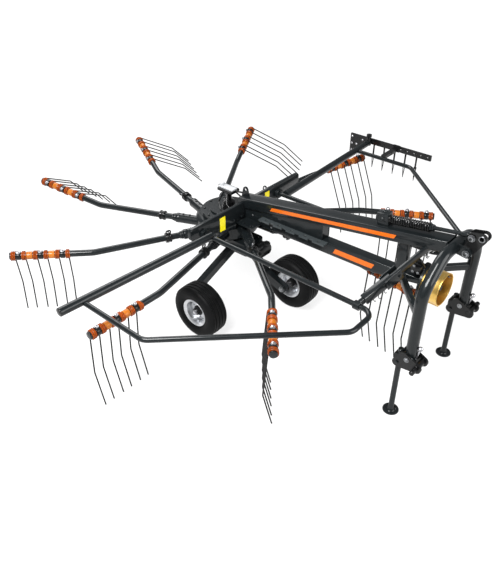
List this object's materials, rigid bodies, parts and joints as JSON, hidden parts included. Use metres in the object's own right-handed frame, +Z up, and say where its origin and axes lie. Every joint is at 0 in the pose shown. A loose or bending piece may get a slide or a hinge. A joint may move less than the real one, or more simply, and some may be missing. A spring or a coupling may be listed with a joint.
{
  "type": "rotary hay rake",
  "caption": "Mounted rotary hay rake: rotor of bent arms with coil-spring tines, beam frame with arched headstock, carrying wheels, parking stands and folding side guards.",
  "frame": {"origin": "ground level below the middle of the bounding box", "axes": "+X forward to the tractor, +Y to the left, +Z up; the rotor turns about a vertical axis"},
  "size_m": [3.2464, 2.972, 1.106],
  "materials": {
    "frame_paint": "satin",
    "black_paint": "satin",
    "spring_black": "satin",
    "steel": "brushed",
    "rim_silver": "satin",
    "gold_steel": "satin",
    "tyre": "matte",
    "black_plastic": "matte"
  },
  "bodies": {
    "frame": {"beam_gusset": "frame_paint", "beam_post": "frame_paint", "chassis_block": "frame_paint", "flange_bar": "frame_paint", "gear_housing": "frame_paint", "guard_strut_left": "frame_paint", "guard_strut_right": "frame_paint", "headstock_arch": "frame_paint", "height_spindle": "black_plastic", "hitch_bracket_left": "black_paint", "hitch_bracket_right": "black_paint", "hitch_pin_left": "black_paint", "hitch_pin_right": "black_paint", "lateral_arm_left": "frame_paint", "lateral_arm_right": "frame_paint", "leg_brace_left": "frame_paint", "leg_brace_right": "frame_paint", "lower_beam": "frame_paint", "pto_guard": "gold_steel", "pto_plate": "frame_paint", "pto_shaft": "steel", "rocker_lugs": "frame_paint", "rotor_axle": "steel", "spring_bracket": "frame_paint", "spring_rod": "frame_paint", "top_link_rocker": "black_paint", "top_spring": "spring_black", "upper_beam": "frame_paint", "wheel_leg_left": "frame_paint", "wheel_leg_right": "frame_paint", "wheel_shaft_left": "steel", "wheel_shaft_right": "steel"},
    "rotor": {"rotor_hub": "frame_paint", "tine_arm_1": "frame_paint", "tine_arm_2": "frame_paint", "tine_arm_3": "frame_paint", "tine_arm_4": "frame_paint", "tine_arm_5": "frame_paint", "tine_arm_6": "frame_paint", "tine_arm_7": "frame_paint", "tine_arm_8": "frame_paint", "tine_arm_9": "frame_paint"},
    "wheel_right": {"rim_right": "rim_silver", "tyre_right": "tyre"},
    "stand_right": {"parking_stand_right": "frame_paint"},
    "guard_right": {"guard_tube_right": "frame_paint", "guard_hoop_right": "frame_paint"},
    "wheel_left": {"rim_left": "rim_silver", "tyre_left": "tyre"},
    "stand_left": {"parking_stand_left": "frame_paint"},
    "guard_left": {"guard_tube_left": "frame_paint", "guard_hoop_left": "frame_paint", "curtain_carrier": "black_paint", "curtain_hooks": "black_paint"}
  },
  "joints": [
    {"name": "rotor_turn", "type": "hinge", "parent": "frame", "child": "rotor", "pos_m": [-0.1508, 0.009, 0.545], "axis": [0, 0, 1], "continuous": true},
    {"name": "wheel_right_turn", "type": "hinge", "parent": "frame", "child": "wheel_right", "pos_m": [0.0862, -0.519, 0.185], "axis": [0, 1, 0], "continuous": true},
    {"name": "wheel_left_turn", "type": "hinge", "parent": "frame", "child": "wheel_left", "pos_m": [0.3502, 0.131, 0.185], "axis": [0, 1, 0], "continuous": true},
    {"name": "stand_right_slide", "type": "slide", "parent": "frame", "child": "stand_right", "axis": [0, 0, 1], "range_m": [0, 0.25]},
    {"name": "stand_left_slide", "type": "slide", "parent": "frame", "child": "stand_left", "axis": [0, 0, 1], "range_m": [0, 0.25]},
    {"name": "guard_right_fold", "type": "hinge", "parent": "frame", "child": "guard_right", "pos_m": [1.1762, -0.421, 0.697], "axis": [-1, 0, 0], "range_deg": [0, 90]},
    {"name": "guard_left_fold", "type": "hinge", "parent": "frame", "child": "guard_left", "pos_m": [1.1762, 0.309, 0.697], "axis": [1, 0, 0], "range_deg": [0, 90]}
  ]
}
